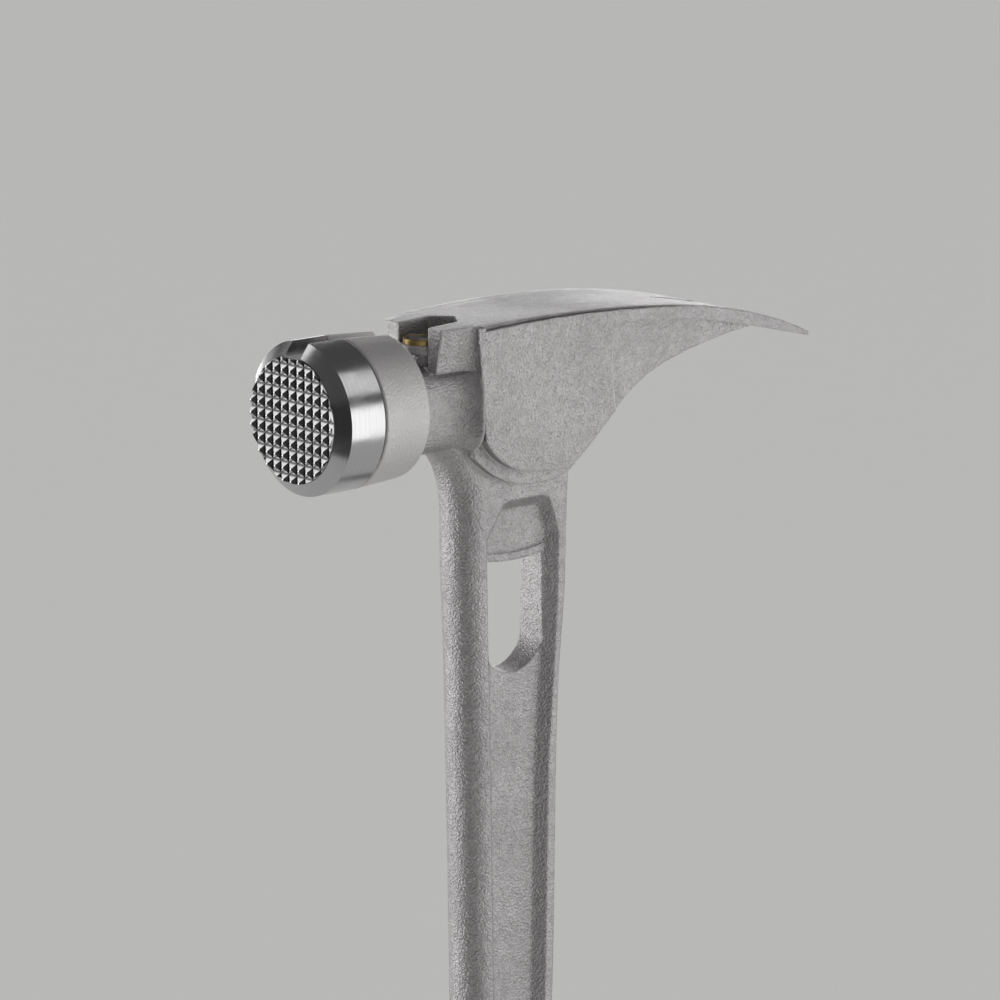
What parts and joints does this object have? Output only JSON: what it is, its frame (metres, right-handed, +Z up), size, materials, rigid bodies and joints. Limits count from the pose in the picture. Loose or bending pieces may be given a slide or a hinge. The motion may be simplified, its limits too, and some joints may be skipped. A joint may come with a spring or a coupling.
{
  "type": "framing hammer",
  "caption": "Framing hammer with a cast head, claw and open handle, a pull-off milled striking cap, a magnetic nail notch and a rubber grip.",
  "frame": {"origin": "middle of the flat butt, on the handle's axis", "axes": "+Z up the handle to the head, +X from the handle towards the claw, so the striking cap looks along -X, +Y to the head's side"},
  "size_m": [0.1443, 0.033, 0.445],
  "materials": {
    "casting": "blasted titanium casting, satin with a fine grain",
    "face_steel": "turned and polished",
    "ring_rubber": "satin",
    "screw_steel": "black oxide",
    "tip_brass": "turned",
    "gilt_cup": "gilt, polished",
    "magnet": "nickel plated",
    "grip_rubber": "matt, moulded texture",
    "butt_rubber": "matt"
  },
  "bodies": {
    "hammer": {"hammer_body": "casting", "magnet_cup": "gilt_cup", "nail_magnet": "magnet", "grip_sleeve": "grip_rubber", "butt_cap": "butt_rubber"},
    "striking_face": {"milled_face": "face_steel", "face_o_ring": "ring_rubber"},
    "lock_tip": {"lock_screw_tip": "tip_brass"},
    "lock_screw": {"face_lock_screw": "screw_steel"}
  },
  "joints": [
    {"name": "face_pull", "type": "slide", "parent": "hammer", "child": "striking_face", "axis": [-1, 0, 0], "range_m": [0, 0.022]},
    {"name": "lock_tip_travel", "type": "slide", "parent": "hammer", "child": "lock_tip", "axis": [0, 0, -1], "range_m": [0, 0.003]},
    {"name": "lock_screw_turn", "type": "hinge", "parent": "lock_tip", "child": "lock_screw", "pos_m": [-0.0381, 0, 0.41685], "axis": [0, 0, -1], "range_deg": [0, 1080]}
  ],
  "couplings": [
    {"joint": "lock_screw_turn", "follows": "lock_tip_travel", "rad_per_m": 6283.2}
  ]
}
